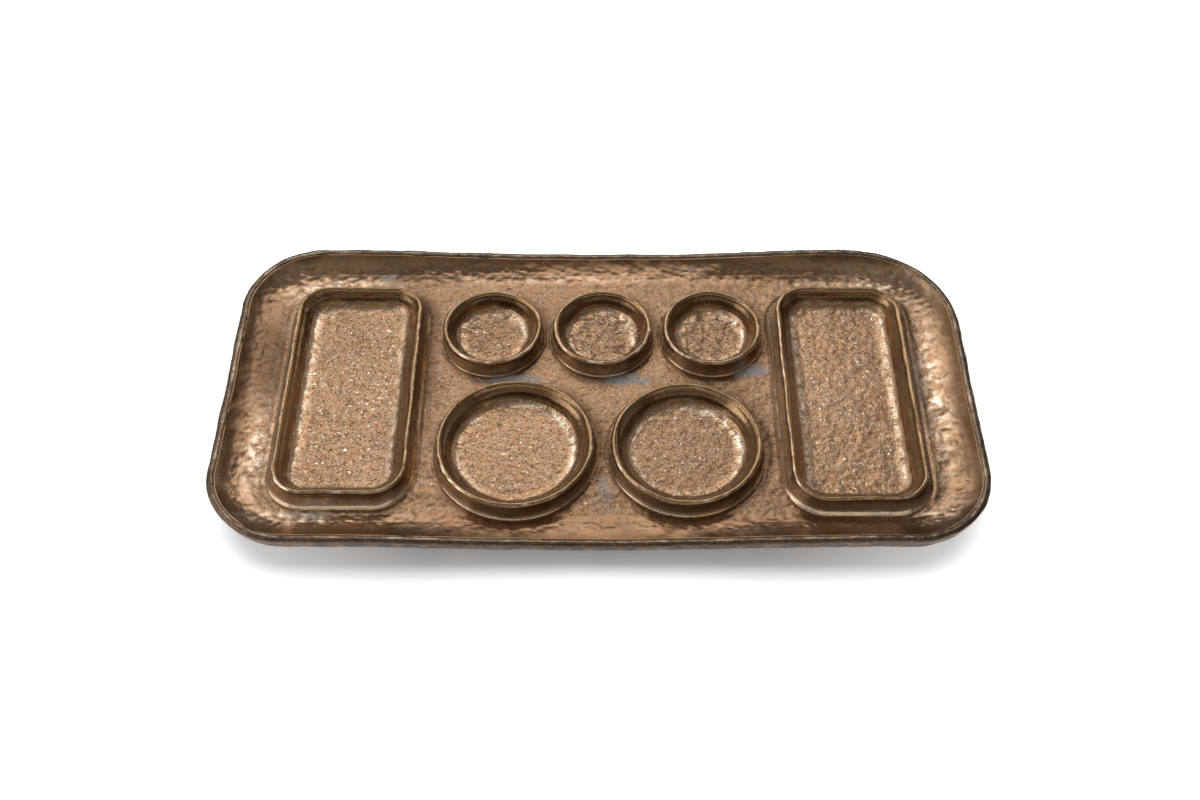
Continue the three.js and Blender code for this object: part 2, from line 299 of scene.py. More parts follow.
def bronzeGlaze(name, look):   # metallic bronze glaze over stoneware, broken to brown where it is thin, with painted highlights, glints and shade
    finish, shader, inMm = newFinish(name)
    labels = ("pooledAndShade", "wornAndHighlight", "bloom", "bare", "amber", "calm")
    pooledAndShade, wornAndHighlight, bloom, bare, amber, calm = (inMm.node("Attribute", {"attribute_name": label}, out=2)
                                              for label in labels)
    stir = 1 - calm
    clouds = grain(inMm, look["cloudSize"], 4.0, 0.6)
    tint = grain(inMm, look["cloudSize"] * 0.4, 4.0, 0.7)
    coarse = grain(inMm, look["grainSize"], 1.5, 0.5, 1.5)
    tone = coarse * 0.65 + grain(inMm, look["grainSize"] * 0.6, 1.0) * 0.35
    spark = grain(inMm, look["grainSize"] * 0.8, 0.8, 0.5, 0.8)
    lively = grain(inMm, glaze["livelySize"], 2.0).between(0.3, 0.62)
    patch = grain(inMm, glaze["frostSize"], 4.0, 0.65)
    pit, lip = craters(inMm, look["pitSize"], glaze["pitShare"], glaze["pitReach"])

    thin = clouds.between(0.42, 0.68) * look["brown"]
    # painted highlight and painted shade on the fine grain
    light = tone.between(0.5, 0.64) * stir * look["grainLightAndShade"]
    grainShade = (1 - tone.between(0.34, 0.48)) * stir * look["grainLightAndShade"]
    # painted glints on sparse grains, which are also raised
    knobGlint = (spark + (lively - 1) * 0.07).between(0.6, 0.68) * stir
    hole = (1 - spark.between(0.3, 0.37)) * stir
    # painted shade in the crater pits and dark spots
    pitShade = (pit * (0.1 + stir * 0.9) + hole * 0.8) * look["pitting"]
    frost = (bloom - patch).between(-0.3, 0.12) * bloom.between(0.05, 0.8)
    # painted highlight colour: the worn glaze colour turns whitish where the mark is strong
    wornHighlightColour = wornAndHighlight.between(0.6, 1.0).blend(glazeShades["wornAndHighlight"], glazeShades["glint"])
    mottle = glaze["bareBase"] + tint.between(0.3, 0.65) * (1 - glaze["bareBase"])

    colour = tint.between(0.35, 0.65).blend(look["body"], look["warm"])
    colour = thin.blend(colour, look["dark"])
    colour = (amber * (glaze["amberBase"] + clouds)).blend(colour, glazeShades["amber"])
    colour = grainShade.blend(colour, look["dark"])
    colour = light.blend(colour, look["flash"])
    colour = frost.blend(colour, glazeShades["bloom"])
    # thin worn glaze and painted highlights
    colour = (wornAndHighlight * (glaze["wornAndHighlightBase"] + tone)).blend(colour, wornHighlightColour)
    colour = (knobGlint * look["glint"]).blend(colour, glazeShades["glint"])
    # dark pooled glaze and painted shade
    colour = (pooledAndShade * glaze["pooledAndShadeDepth"]).blend(colour, glazeShades["pooledAndShade"])
    colour = pitShade.blend(colour, glazeShades["pooledAndShade"])
    # painted glint on the crater lips
    colour = (lip * stir * look["glint"] * 0.4).blend(colour, glazeShades["glint"])
    colour = (bare * mottle).blend(colour, glazeShades["bare"])
    colour.into(shader, "Base Color")

    rough = look["roughness"] - calm.between(0.7, 0.95) * look["polish"] - wornAndHighlight * look["sheen"]
    rough = rough + (tone - 0.5) * look["roughGrain"]
    rough = rough + frost * glaze["frostRough"] + bare * glaze["bareRough"] - knobGlint * glaze["knobGlintGloss"]
    rough.into(shader, "Roughness")
    metal = look["metal"] - frost * glaze["frostDull"] - bare * glaze["bareDull"] - wornAndHighlight * look["chalk"]
    metal.into(shader, "Metallic")
    height = (tone * stir + knobGlint * 0.3 - hole * 0.3) * look["grainDepth"]
    height = height + (lip * 0.15 - pit * 0.3) * (0.2 + stir * 0.8) * look["pitting"]
    height.bump().into(shader, "Normal")
    return finish


floorLook = {
    "body": shade(0.355, 0.222, 0.133), "warm": shade(0.365, 0.206, 0.108),
    "dark": shade(0.12, 0.066, 0.034), "flash": shade(0.46, 0.315, 0.2),
    "cloudSize": 26, "grainSize": 2.1, "pitSize": 3.4,                                # mm
    "brown": 0.25, "grainLightAndShade": 0.45, "glint": 0.75, "pitting": 0.8, "grainDepth": 0.5,   # strength of marks, among them the grain's painted light and shade and painted glints
    "roughness": 0.29, "roughGrain": 0.1, "polish": 0.03, "sheen": 0.08,
    "metal": 0.97, "chalk": 0.0,
}
wallLook = dict(floorLook, body=shade(0.34, 0.21, 0.105), warm=shade(0.34, 0.19, 0.08),
                dark=shade(0.2, 0.115, 0.052), cloudSize=16, grainSize=2.4, pitSize=4.5,
                brown=0.5, grainLightAndShade=0.2, glint=0.0, pitting=0.2, grainDepth=0.1,
                roughness=0.22, sheen=0.0, metal=0.98, chalk=0.18)
edgeLook = dict(floorLook, brown=0.35, pitting=0.6)
beadLook = dict(wallLook, body=shade(0.11, 0.08, 0.06), warm=shade(0.12, 0.078, 0.05),
                dark=shade(0.07, 0.052, 0.042), brown=0.9, pitting=0.4, roughness=0.3)
filletLook = dict(floorLook, body=shade(0.31, 0.195, 0.115), brown=0.2, grainLightAndShade=0.5, glint=0.5, pitting=0.6,
                  roughness=0.3, chalk=0.1)

floorGlaze = bronzeGlaze("floor_glaze", floorLook)
wallGlaze = bronzeGlaze("wall_glaze", wallLook)
edgeGlaze = bronzeGlaze("edge_glaze", edgeLook)
beadGlaze = bronzeGlaze("bead_glaze", beadLook)
filletGlaze = bronzeGlaze("fillet_glaze", filletLook)

clayLook = {"body": shade(0.42, 0.31, 0.21), "pale": shade(0.55, 0.43, 0.31), "grog": shade(0.22, 0.15, 0.1),
            "cloudSize": 14.0, "grogSize": 0.9, "grogDepth": 0.25, "roughness": 0.8, "roughGrain": 0.15}


def bareClayFinish():   # unglazed stoneware under the tray
    finish, shader, inMm = newFinish("bare_clay")
    clouds = grain(inMm, clayLook["cloudSize"], 5.0)
    grog = grain(inMm, clayLook["grogSize"], 3.0)
    colour = clouds.between(0.35, 0.7).blend(clayLook["body"], clayLook["pale"])
    colour = grog.between(0.6, 0.72).blend(colour, clayLook["grog"])
    colour.into(shader, "Base Color")
    (clayLook["roughness"] + grog * clayLook["roughGrain"]).into(shader, "Roughness")
    (grog * clayLook["grogDepth"]).bump().into(shader, "Normal")
    return finish


bareClay = bareClayFinish()
print("finishes made")


# the tray's own facts, from the frame

floorLow, floorHigh = boxOf("floor_slab")
beadHigh = boxOf("rim_bead")[1]
floorLevel, slabBottom = floorHigh[2], floorLow[2]
trayHalf = beadHigh[:2]
middle = np.zeros(2)

edge = {
    "run": 17.5, "radius": 50.0, "backRightRadius": 66.0,   # width of the slope, corners in plan
    "longSag": 5.0, "shortSag": 1.5,                        # dip of the lip along the sides
    "reach": 14.0, "sweep": 1.25, "steepen": 0.14,          # where the rise begins and how it curves
    "hollow": 1.25, "wellRoom": 8.0,                        # its curve near a well, and how near that is
    "wave": 0.55, "waveSize": 46.0,                         # hand-made wave of the lip, up and down
    "sway": 0.5, "swaySize": 38.0,                          # the same, in and out
    "tuck": 4.0, "cornerTuck": 0.5, "heel": 2.0,            # lean of the outer face, flat under it
    "lap": 8.0, "lapThickness": 4.0, "seam": 1.6,           # how it lies under the slab
    "faceRipple": 0.3, "faceSize": 9.0,                     # unevenness of the outer face
    "slopeGrain": 0.06, "slopeSize": 4.0,                   # the same on the slope
    "lipShade": 0.4, "slopeCalm": 0.95, "faceCalm": 0.4,    # painted shade under the bead, fine grain that is lost
    "spacing": 1.0, "slopeSteps": 26, "faceSteps": 12, "soleSteps": 8,
}
bead = {
    "width": 5.2, "height": 1.9, "overhang": 0.8, "sink": 1.3, "proud": 0.7, "lap": 0.4, "sides": 24,
    "fat": 0.10, "fatSize": 17.0, "knock": 0.16, "knockSize": 7.0, "grit": 0.08, "gritSize": 2.8,
    "wornAndHighlight": 0.5, "wornAndHighlightSize": 8.0, "topShade": 0.1, "underShade": 0.9,
}

trayRadii = np.array([edge["backRightRadius"]] + [edge["radius"]] * 3)
floorHalf = trayHalf - edge["run"]
floorRadii = trayRadii - edge["run"]
cornerRise = beadHigh[2] - floorLevel

wellKinds = {   # flare of both faces, how far the rim leans out, and how much painted light its outer front and its fillet take
    "plate": {"outerFlare": 4.6, "innerFlare": 5.4, "rimOut": 0.9, "radius": 20.0,
              "frontLight": 0.95, "leftShine": 1.0, "shine": 0.6},
    "dip": {"outerFlare": 1.8, "innerFlare": 4.6, "rimOut": 0.5,
            "frontLight": 0.05, "leftShine": 0.3, "shine": 0.85},
    "bowl": {"outerFlare": 3.2, "innerFlare": 5.4, "rimOut": 1.2,
             "frontLight": 0.0, "leftShine": 0.5, "shine": 0.95},
}
wellFloors = {   # how uneven the floor is, how much fine grain is lost, how much painted shade darkens it
    "left_plate": {"crumple": 0.35, "calm": 0.0, "shade": 0.03},
    "right_plate": {"crumple": 0.3, "calm": 0.25, "shade": 0.0},
    "left_dip": {"crumple": 1.2, "calm": 0.1, "shade": 0.42},
    "middle_dip": {"crumple": 1.3, "calm": 0.1, "shade": 0.42},
    "right_dip": {"crumple": 1.1, "calm": 0.1, "shade": 0.46},
    "left_bowl": {"crumple": 0.2, "calm": 0.22, "shade": 0.26},
    "right_bowl": {"crumple": 0.15, "calm": 0.22, "shade": 0.36},
}
wells = {}
for well, ground in wellFloors.items():
    low, high = boxOf(well + "_wall")
    facts = dict(wellKinds[well.split("_")[1]], **ground)
    facts["centre"] = (low[:2] + high[:2]) / 2
    facts["half"] = (high[:2] - low[:2]) / 2 - facts["outerFlare"]   # over the rim
    facts["radii"] = np.full(4, facts.get("radius", facts["half"].min()))
    facts["full"] = high[2] - floorLevel   # height of the wall over the floor
    wells[well] = facts


def fromFoot(points, facts):   # mm outside the foot of a well's wall, negative inside
    out = facts["outerFlare"]
    return outside(points, facts["centre"], facts["half"] + out, facts["radii"] + out)


blooms = {   # blue-grey patches in the glaze: centre and reach in mm, and strength
    "behindLeftPlate": (-138, 95, 11, 5, 0.8), "underLeftDip": (-56, 9, 24, 6, 1.0),
    "underMiddleDip": (16, 10, 22, 6, 1.0), "underRightDip": (92, 17, 20, 8, 0.9),
    "besideRightBowl": (4, -74, 9, 16, 0.7), "inRightBowl": (66, -16, 18, 8, 0.5),
    "rightBowlFloor": (56, -44, 22, 18, 0.35), "frontLeft": (-168, -92, 22, 8, 0.75),
    "frontRight": (142, -100, 12, 5, 0.5), "behindDips": (62, 101, 18, 8, 0.5),
    "rightPlateFloor": (144, -6, 22, 44, 0.38), "besideRightPlate": (198, 6, 6, 44, 0.6),
}
litHammerPatches = {   # hammered patches where the floor turns up into the slope, which also take painted highlights, in the same terms
    "backLeft": (-172, 86, 42, 12, 0.9), "leftFront": (-204, -48, 9, 36, 0.85),
    "leftBack": (-204, 30, 8, 40, 0.15), "frontLeft": (-172, -95, 42, 8, 0.9),
    "back": (-20, 94, 110, 5, 0.4), "backRight": (172, 84, 40, 14, 1.0),
    "right": (206, 0, 8, 70, 0.9), "frontRight": (180, -92, 40, 9, 0.7),
}
paintedShades = {   # painted shade on parts of the slope and the floor, in the same terms
    "left": (-220, 4, 12, 76, 1.0), "frontLeft": (-216, -88, 16, 18, 0.6),
    "right": (222, -10, 10, 70, 0.9), "back": (12, 110, 125, 11, 1.0),
    "front": (10, -109, 115, 10, 0.75), "leftAisle": (-207, 28, 17, 58, 1.1),
    "leftPlateBack": (-152, 40, 34, 30, 0.28), "rightPlateBack": (152, 46, 34, 30, 0.12),
}


def patches(points, places):   # strongest of the patches at each point
    total = np.zeros(points.shape[:-1])
    for x, y, reachX, reachY, strength in places.values():
        patch = np.exp(-((points[..., 0] - x) / reachX) ** 2 - ((points[..., 1] - y) / reachY) ** 2)
        total = np.maximum(total, strength * patch)
    return total


# relief of the floor and the slope, which share it so that the seam between them stays closed

relief = {   # height and size of each kind of bump in mm
    "swell": (0.25, 60.0), "dimple": (0.24, 9.0), "stipple": (0.17, 3.4),
    "crumple": (0.45, 9.0), "crease": (0.28, 4.0), "hammer": (0.16, 6.0), "crinkle": (0.17, 3.0),
    "pock": (0.36, 8.0), "pockRadius": 1.3, "seatRidge": 0.3, "seatGroove": 0.4,
}


def lipRise(points):   # height of the lip over the floor
    share = np.minimum(1, np.abs(points[..., :2]) / (trayHalf - edge["radius"]))
    sag = np.cos(share * np.pi / 2) ** 2
    wave = edge["wave"] * lumps(flattened(points), edge["waveSize"], 11)
    return cornerRise - edge["longSag"] * sag[..., 0] - edge["shortSag"] * sag[..., 1] + wave


def sweepRise(points, rim):   # rise of the turned-up edge at this distance outside the floor line
    lip = edge["run"] - bead["width"] + bead["lap"]
    rise = lipRise(points) - bead["proud"]
    share = np.clip((rim + edge["reach"]) / (lip + edge["reach"]), 0, 1)
    share = share ** (edge["sweep"] + edge["steepen"] * rise)
    steep = np.clip(rim / lip, 0, 1) ** edge["hollow"]
    clear = np.min([fromFoot(points, facts) for facts in wells.values()], 0)
    return rise * (steep + (share - steep) * ease(clear, 0, edge["wellRoom"]))   # steeper beside a well


def bumps(kind, flat, seed):
    height, size = relief[kind]
    return height * lumps(flat, size, seed)


def glazeLift(points):   # height of the uneven glazed surface over a smooth one
    flat = flattened(points)
    rim = outside(flat, middle, floorHalf, floorRadii)
    onSlope = ease(rim, 3, 9)
    openFloor = np.ones(rim.shape)
    lift = np.zeros(rim.shape)
    ridge = relief["seatRidge"] * (0.5 + 0.5 * lumps(flat, 14.0, 7))
    uneven = bumps("crumple", flat, 17) + bumps("crease", flat, 18)
    for facts in wells.values():
        away = fromFoot(flat, facts)
        inside = ease(-away, 6, 9)
        lift += ridge * bell(away - 2.3, 1.1) - relief["seatGroove"] * bell(away - 0.3, 0.7)
        lift += inside * facts["crumple"] * uneven
        openFloor -= inside
    lift += bumps("swell", flat, 1)
    lift += bumps("dimple", flat, 2) * (0.3 + 0.7 * openFloor)
    lift += bumps("stipple", flat, 3) * (1 - 0.9 * onSlope)
    hammered = bell(rim + 1, 11.0) * (0.45 + 0.55 * patches(flat, litHammerPatches))
    lift += hammered * (bumps("hammer", flat, 5) + bumps("crinkle", flat, 9))
    depth, cell = relief["pock"]
    lift -= depth * pocks(flat, cell, relief["pockRadius"], 6) * (1 - onSlope) * openFloor
    return lift


def bloomAt(points):
    return patches(points, blooms) * (0.75 + 0.25 * lumps(points, 6.0, 8))


# floor slab: a dense top, a stepped edge under the slope and a flat underside

floor = {
    "cell": 0.95, "underlap": 2.5, "lapGap": 0.3, "lapFall": 0.3,   # mesh, and how it lies over the strip
    "openShade": 0.52, "edgeShade": 0.1, "litPatchLift": 0.65,          # darker outside the wells and near the slope, less under the painted highlights
    "openCalm": 0.55, "edgeCalm": 0.95,                             # fine grain that is lost there
    "sideShadow": 0.58, "sideReach": 7.0,                            # painted shadow to the right of a wall thick glaze along a wall's foot, and darker below
    "seamShade": 0.6, "seamWidth": 0.9, "hiddenShade": 0.8,         # and along its foot, and below
}


def hammerHighlight(points):   # painted highlights in the hammered patches
    flat = flattened(points)
    return patches(flat, litHammerPatches) * ease(lumps(flat, 6.0, 22) + 0.6 * lumps(flat, 2.8, 23), -0.5, 0.6)


def shadeAt(flat):   # how much darker the open floor is, less under the painted highlights
    nearEdge = ease(outside(flat, middle, floorHalf, floorRadii), -14, -4)
    thinned = 1 - floor["litPatchLift"] * patches(flat, litHammerPatches)
    return (floor["openShade"] + floor["edgeShade"] * nearEdge) * thinned


def floorMarks(points):
    flat = flattened(points)
    openShade = shadeAt(flat)
    pooledAndShade = openShade.copy()
    calm = np.full(len(points), floor["openCalm"])
    for facts in wells.values():
        away = fromFoot(flat, facts)
        inside = ease(-away, 5, 8)
        beside = away > -0.6
        calm -= (floor["openCalm"] - facts["calm"]) * inside
        pooledAndShade -= (openShade - facts["shade"]) * inside
        # painted shadow to the right of each well
        local = flat[:, :2] - facts["centre"]
        right = (0.9 * local[:, 0] + 0.44 * local[:, 1]) / np.maximum(np.abs(local).max(1), 1)
        near = bell(np.maximum(away, 0), floor["sideReach"]) * beside
        pooledAndShade += floor["sideShadow"] * ease(right, 0.4, 1) * near
        pooledAndShade = np.maximum(pooledAndShade, floor["seamShade"] * bell(away, floor["seamWidth"]) * beside)
    pooledAndShade = np.maximum(pooledAndShade, patches(flat, paintedShades))
    nearEdge = ease(outside(flat, middle, floorHalf, floorRadii), -12, -4)
    calm = np.maximum(calm, floor["edgeCalm"] * nearEdge)
    return {"bloom": bloomAt(flat), "pooledAndShade": pooledAndShade, "calm": calm, "wornAndHighlight": hammerHighlight(flat)}


def floorSlab():
    half = floorHalf + floor["underlap"]
    radii = floorRadii + floor["underlap"]
    columns, rows = (int(2 * size / floor["cell"]) + 1 for size in half)
    y = np.linspace(-half[1], half[1], rows)
    ends = []
    for side, back, front in ((-1, radii[1], radii[2]), (1, radii[0], radii[3])):
        radius = np.where(y > 0, back, front)
        into = np.clip(np.abs(y) - half[1] + radius, 0, radius)
        ends.append(side * (half[0] - radius + np.sqrt(radius ** 2 - into ** 2)))
    x = ends[0][:, None] + (ends[1] - ends[0])[:, None] * np.linspace(0, 1, columns)
    top = np.stack([x, np.broadcast_to(y[:, None], x.shape), np.zeros_like(x)], -1)
    beyond = outside(top, middle, floorHalf, floorRadii)
    lift = glazeLift(top) + sweepRise(top, beyond) - floor["lapFall"] * np.maximum(beyond, 0)
    top[..., 2] = floorLevel + lift
    top = top.reshape(-1, 3)

    index = np.arange(len(top)).reshape(rows, columns)
    corners = [index[:-1, :-1], index[:-1, 1:], index[1:, 1:], index[1:, :-1]]
    faces = np.stack(corners, -1).reshape(-1, 4).tolist()
    above = np.concatenate([index[0, :-1], index[:-1, -1], index[-1, :0:-1], index[:0:-1, 0]])
    rim = top[above, :2]
    inward = rim * (half - edge["lap"] - floor["underlap"] - floor["lapGap"]) / half
    lapLevel = slabBottom + edge["lapThickness"] + floor["lapGap"]
    points = [top]
    for plan, level in ((rim, lapLevel), (inward, lapLevel), (inward, slabBottom)):   # down the stepped edge
        below = sum(map(len, points)) + np.arange(len(plan))
        points.append(np.column_stack([plan, np.full(len(plan), level)]))
        faces += np.stack([np.roll(above, -1), above, below, np.roll(below, -1)], -1).tolist()
        above = below
    faces.append(above[::-1].tolist())
    points = np.concatenate(points)
    marks = floorMarks(points)
    marks["pooledAndShade"][len(top):] = floor["hiddenShade"]
    addPiece("floor_slab", points, faces, floorGlaze, marks)


floorSlab()
print("floor slab made")


# turned-up edge and the bead along its lip

def lipLine():   # the tray's outline, its outward directions, the rise of the lip and its sway
    path, outward = outline(middle, trayHalf, trayRadii, edge["spacing"])[:2]
    sway = edge["sway"] * lumps(flattened(path), edge["swaySize"], 12)
    return path, outward, lipRise(path), sway[:, None]


def edgeStrip():
    path, outward, rise, sway = lipLine()
    level = np.ones(len(path))
    foot, lip, outer = -edge["run"], bead["lap"] - bead["width"], -bead["overhang"]
    seam, lapEnd = foot - edge["seam"], foot - edge["lap"]
    drop = floorLevel - slabBottom
    crest = rise - bead["proud"]
    under = crest - bead["height"]
    tuck = edge["tuck"] + edge["cornerTuck"] * (rise - rise.min())   # the face leans in more at the corners
    heel = outer - tuck - edge["heel"]
    lapTop = (edge["lapThickness"] - drop) * level

    # offset and height over the floor: the slope, the outer face, the sole, the lap under the slab
    columns = [(seam, -0.3 * level), (seam + 0.8, -0.12 * level)]
    tucked = len(columns)
    for share in np.linspace(0, 1, edge["slopeSteps"]):
        columns.append((foot + (lip - foot) * share, 0 * level))
    shown = len(columns)
    columns.append((lip * 0.6, crest - bead["height"] * 0.5))
    for share in np.linspace(0, 1, edge["faceSteps"]):
        columns.append((outer - tuck * share ** 1.6, under - (under + drop) * share ** 0.85))
    faced = len(columns)
    for share in np.linspace(0, 1, edge["soleSteps"]):
        columns.append((heel + (lapEnd - heel) * share, -drop * level))
    columns += [(lapEnd, lapTop), (seam, lapTop), (seam - 0.2, -0.8 * level)]
    offsets = np.stack([offset * level for offset, height in columns], 1)
    heights = np.stack([height for offset, height in columns], 1) + floorLevel

    slope, face = slice(0, shown), slice(shown + 1, faced)
    beyond = offsets[:, slope] - foot
    swayed = ease(offsets[0], foot, lip)
    swayed[faced:] = 0
    grid = swept(path, outward, offsets + sway * swayed, heights)
    grid[:, slope, 2] += sweepRise(grid[:, slope], beyond)
    slopeGrain = edge["slopeGrain"] * lumps(grid[:, slope], edge["slopeSize"], 10)
    grid[:, slope, 2] += glazeLift(grid[:, slope]) + slopeGrain
    ripple = edge["faceRipple"] * lumps(grid[:, face], edge["faceSize"], 13)
    grid[:, face] += facing(grid)[:, face] * ripple[..., None]

    flat = flattened(grid)[:, slope]
    number = np.arange(len(columns))
    pooledAndShade, bare, bloom = (np.zeros(grid.shape[:2]) for layer in range(3))
    bloom[:, slope] = bloomAt(flat)
    # painted shade on the slope, and under the bead
    pooledAndShade[:, slope] = np.maximum(patches(flat, paintedShades), shadeAt(flat))
    pooledAndShade[:, shown - 1:shown + 1] = edge["lipShade"]
    bare[:, shown + 1:] = 1
    up = np.zeros(len(columns))
    up[tucked:shown] = ease(np.linspace(0, 1, shown - tucked), 0.45, 0.9)
    amber = up * (0.6 + 0.5 * lumps(grid, 16.0, 18))
    calm = np.where(number <= shown, edge["slopeCalm"], edge["faceCalm"]) * np.ones(grid.shape[:2])
    # painted highlights on the hammered patches
    wornAndHighlight = hammerHighlight(grid) * (number < shown)
    addRing("edge_strip", grid, edgeGlaze,
            {"bloom": bloom, "pooledAndShade": pooledAndShade, "bare": bare, "amber": amber, "calm": calm, "wornAndHighlight": wornAndHighlight})


def rimBead():
    path, outward, rise, sway = lipLine()
    fat = 1 + bead["fat"] * lumps(flattened(path), bead["fatSize"], 14)[:, None]
    turn = np.linspace(0, 2 * np.pi, bead["sides"], endpoint=False) - np.pi / 2
    half, tall = bead["width"] / 2, (bead["height"] + bead["sink"]) / 2
    across = np.sign(np.cos(turn)) * np.abs(np.cos(turn)) ** 0.8 * half
    up = np.sin(turn) * tall
    up -= 0.45 * bead["proud"] * np.clip(-across / half, 0, 1)   # inner side lies flush with the slope
    offsets = across * fat - half + sway
    heights = floorLevel + (rise - tall)[:, None] + up * fat
    grid = swept(path, outward, offsets, heights)
    knocks = bead["knock"] * lumps(grid, bead["knockSize"], 15)
    knocks = knocks + bead["grit"] * lumps(grid, bead["gritSize"], 16)
    grid += facing(grid) * knocks[..., None]
    # painted highlight along the bead's inner crest, painted shade under the bead
    crest = bell(offsets + 1.24 * half, 0.7) * (np.sin(turn) > 0)
    wornAndHighlight = crest * bead["wornAndHighlight"] * lumps(grid, bead["wornAndHighlightSize"], 17)
    pooledAndShade = np.where(np.sin(turn) < -0.4, bead["underShade"], bead["topShade"]) * (1 - np.clip(wornAndHighlight, 0, 1))
    addRing("rim_bead", grid, beadGlaze, {"wornAndHighlight": wornAndHighlight, "pooledAndShade": pooledAndShade})


edgeStrip()
rimBead()
print("turned-up edge and bead made")


# walls of the wells, with a coil smeared into each inside corner

wall = {
    "rim": 4.0, "sink": 0.9, "spacing": 0.8, "sides": 64,     # width of the rim, depth in its seat, mesh
    "lean": 0.45, "leanSize": 30.0, "rise": 0.35, "riseSize": 24.0, "thick": 0.35, "thickSize": 17.0,
    "ripple": 0.16, "rippleSize": 9.0, "grit": 0.05, "gritSize": 3.0, "nick": 0.15, "nickSize": 5.0,
    "crestAt": 1.1, "crestWidth": 0.45, "mostSideLight": 0.62,     # painted highlight over thin glaze along the rim, most painted light on the sides dark glaze in the seat; painted shade on the inner back, on the rim and under it
    "seatShade": 0.7, "backShade": 0.95, "rimShade": 0.35, "overhangShade": 0.15,   # thick glaze
}
coil = {
    "width": 4.8, "height": 3.3, "sides": 32,
    "reach": 0.5, "reachSize": 13.0, "pinch": 0.08, "pinchSize": 3.1,   # how far it is smeared, finger marks
    "lump": 0.14, "lumpSize": 6.0, "grit": 0.07, "gritSize": 2.6, "calm": 0.4,
}


def innerLine(facts, height):   # offset of the inner face of a wall at a height over the floor
    return -wall["rim"] - facts["innerFlare"] * (1 - np.clip(height / (0.85 * facts["full"]), 0, 1)) ** 1.12


def wallSection(facts):   # offset and height over the floor, from the outer foot over the rim to the inner
    full, flare, out = facts["full"], facts["outerFlare"], facts["rimOut"]
    corners = [(flare + 0.3, -wall["sink"]), (flare + 0.15, -0.1), (flare - 0.5, 0.35),
               (0.82 * flare - 0.2, 0.08 * full), (0.64 * flare - 0.1, 0.15 * full),
               (0.46 * flare + 0.1 * out, 0.27 * full), (0.3 * flare + 0.4 * out, 0.42 * full),
               (0.16 * flare + 0.7 * out, 0.6 * full), (out, 0.76 * full), (out - 0.12, 0.83 * full),
               (out - 0.45, 0.92 * full), (out - 1.1, 0.98 * full), (out - 1.9, full),
               (out - 2.8, 0.975 * full), (0.8 * out - 3.5, 0.91 * full),
               (0.5 * out - wall["rim"], 0.8 * full)]
    corners += [(innerLine(facts, height), height) for height in np.array([0.62, 0.42, 0.18]) * full]
    corners += [(innerLine(facts, 0) + 0.2, 0.0), (innerLine(facts, 0), -wall["sink"])]
    return smoothRun(corners, wall["sides"]).T


def wallMarks(facts, grid, outward, offset, height, nick, seed):   # painted highlights and shade, with thin glaze on the rim and dark glaze in the seat
    full = facts["full"]
    top = height > 0.86 * full
    outerFace = (offset > -0.4) * ~top
    fromRim = offset - facts["rimOut"]
    towards = -outward[:, 1:]   # 1 at the front of the well, -1 at its back
    front = ease(towards, 0.2, 0.9)
    behind = ease(-towards, 0.55, 1.0)
    left = turned(outward, (-0.95, -0.3), -0.1, 0.9)   # painted light on the left faces
    right = turned(outward, (0.87, 0.4), 0.0, 0.9)
    nearRight = turned(outward, (0.75, -0.66), 0.2, 0.9)

    # painted highlight line along the rim crest, over thin glaze, more on the left
    crest = bell(fromRim + wall["crestAt"], wall["crestWidth"]) * top * (0.7 + 0.3 * towards)
    crest = crest * (0.25 + 0.3 * turned(outward, (-1, 0), 0, 0.8) + 1.2 * lumps(grid, 5.0, seed + 6))
    crest = np.maximum(crest, 0) + 0.09 * bell(fromRim + 1.6, 1.3) * top
    # painted light on the outer face, more on its front and front right
    outer = (offset > -0.4) * bell(height - 0.3 * full, 0.3 * full)
    outer = outer * (0.8 + 0.5 * lumps(grid, 7.0, seed + 9))
    inner = (offset < -0.8 * wall["rim"]) * ease(height, 0.2 * full, 0.5 * full) * ~top
    # painted highlight line along the front-left foot
    footLip = bell(height - 0.45, 0.35) * (offset > 0) * turned(outward, (-0.8, -0.6), -0.5, 0.5)
    sides = outer * (0.1 + 0.3 * nearRight + facts["frontLight"] * front) + 0.55 * left * outerFace
    sides = sides + footLip * (0.1 + 0.3 * lumps(grid, 11.0, seed + 8))
    # painted light on the inner faces at the right, less at the back
    wornAndHighlight = crest - nick + np.minimum(sides, wall["mostSideLight"]) + inner * (0.03 + 0.12 * right) * (1 - behind)
    # painted shade on the inner back, on the rim beside the crest and under the rim; dark glaze in the seat
    # and the nicks
    pooledAndShade = wall["seatShade"] * ease(-height, -0.1, 0.2) + 0.3 * nick + wall["backShade"] * inner * behind
    pooledAndShade = pooledAndShade + wall["rimShade"] * top * (1 - np.clip(crest, 0, 1))
    pooledAndShade = pooledAndShade + wall["overhangShade"] * outerFace * ease(height, 0.45 * full, 0.75 * full)
    return {"wornAndHighlight": wornAndHighlight, "pooledAndShade": pooledAndShade, "bloom": 0.6 * bloomAt(grid),
            "amber": inner * (0.5 + 0.5 * lumps(grid, 20.0, seed + 7))}


